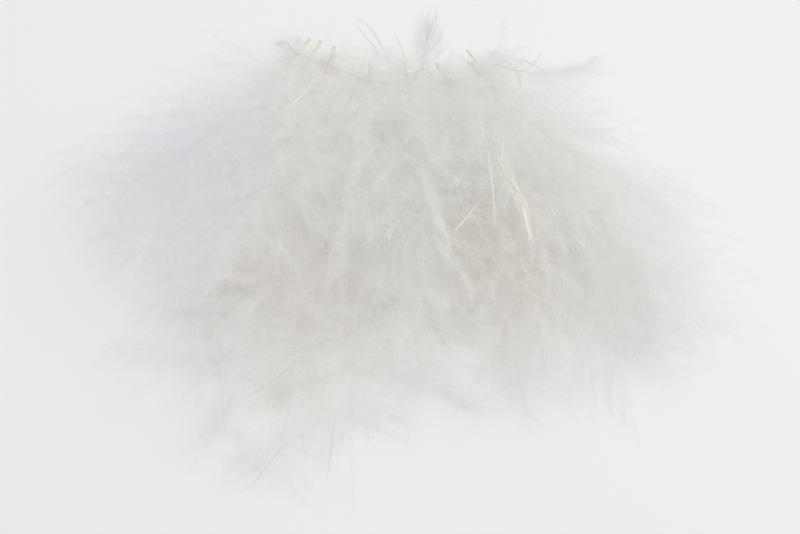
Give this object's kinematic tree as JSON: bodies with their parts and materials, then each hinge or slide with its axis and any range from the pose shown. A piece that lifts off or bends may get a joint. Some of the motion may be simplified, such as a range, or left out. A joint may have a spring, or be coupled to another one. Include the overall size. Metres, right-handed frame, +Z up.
{
  "type": "bunch of strung marabou feathers",
  "caption": "Soft white down plumes sewn side by side on a thread and fanned out in layers, lying on a surface.",
  "frame": {"origin": "centre of the base of the whole bunch, on the surface that it lies on", "axes": "+X to the right as the picture shows it, along the widest extent of the fan; +Y away from the viewer, towards the sewn quill ends; +Z up from the surface"},
  "size_m": [0.2356, 0.172, 0.0541],
  "materials": {
    "down": "soft matt white feather down, a little see-through at its edges",
    "thread": "matt twisted off-white cotton"
  },
  "bodies": {
    "root": {"bottom_feather_1": "down", "bottom_feather_2": "down", "bottom_feather_3": "down", "bottom_feather_4": "down", "bottom_feather_5": "down", "bottom_feather_6": "down", "bottom_feather_7": "down", "middle_feather_1": "down", "middle_feather_2": "down", "middle_feather_3": "down", "middle_feather_4": "down", "middle_feather_5": "down", "middle_feather_6": "down", "top_feather_1": "down", "top_feather_2": "down", "top_feather_3": "down", "top_feather_4": "down", "top_feather_5": "down", "top_feather_6": "down", "top_feather_7": "down", "top_feather_8": "down", "thread": "thread"}
  },
  "joints": []
}
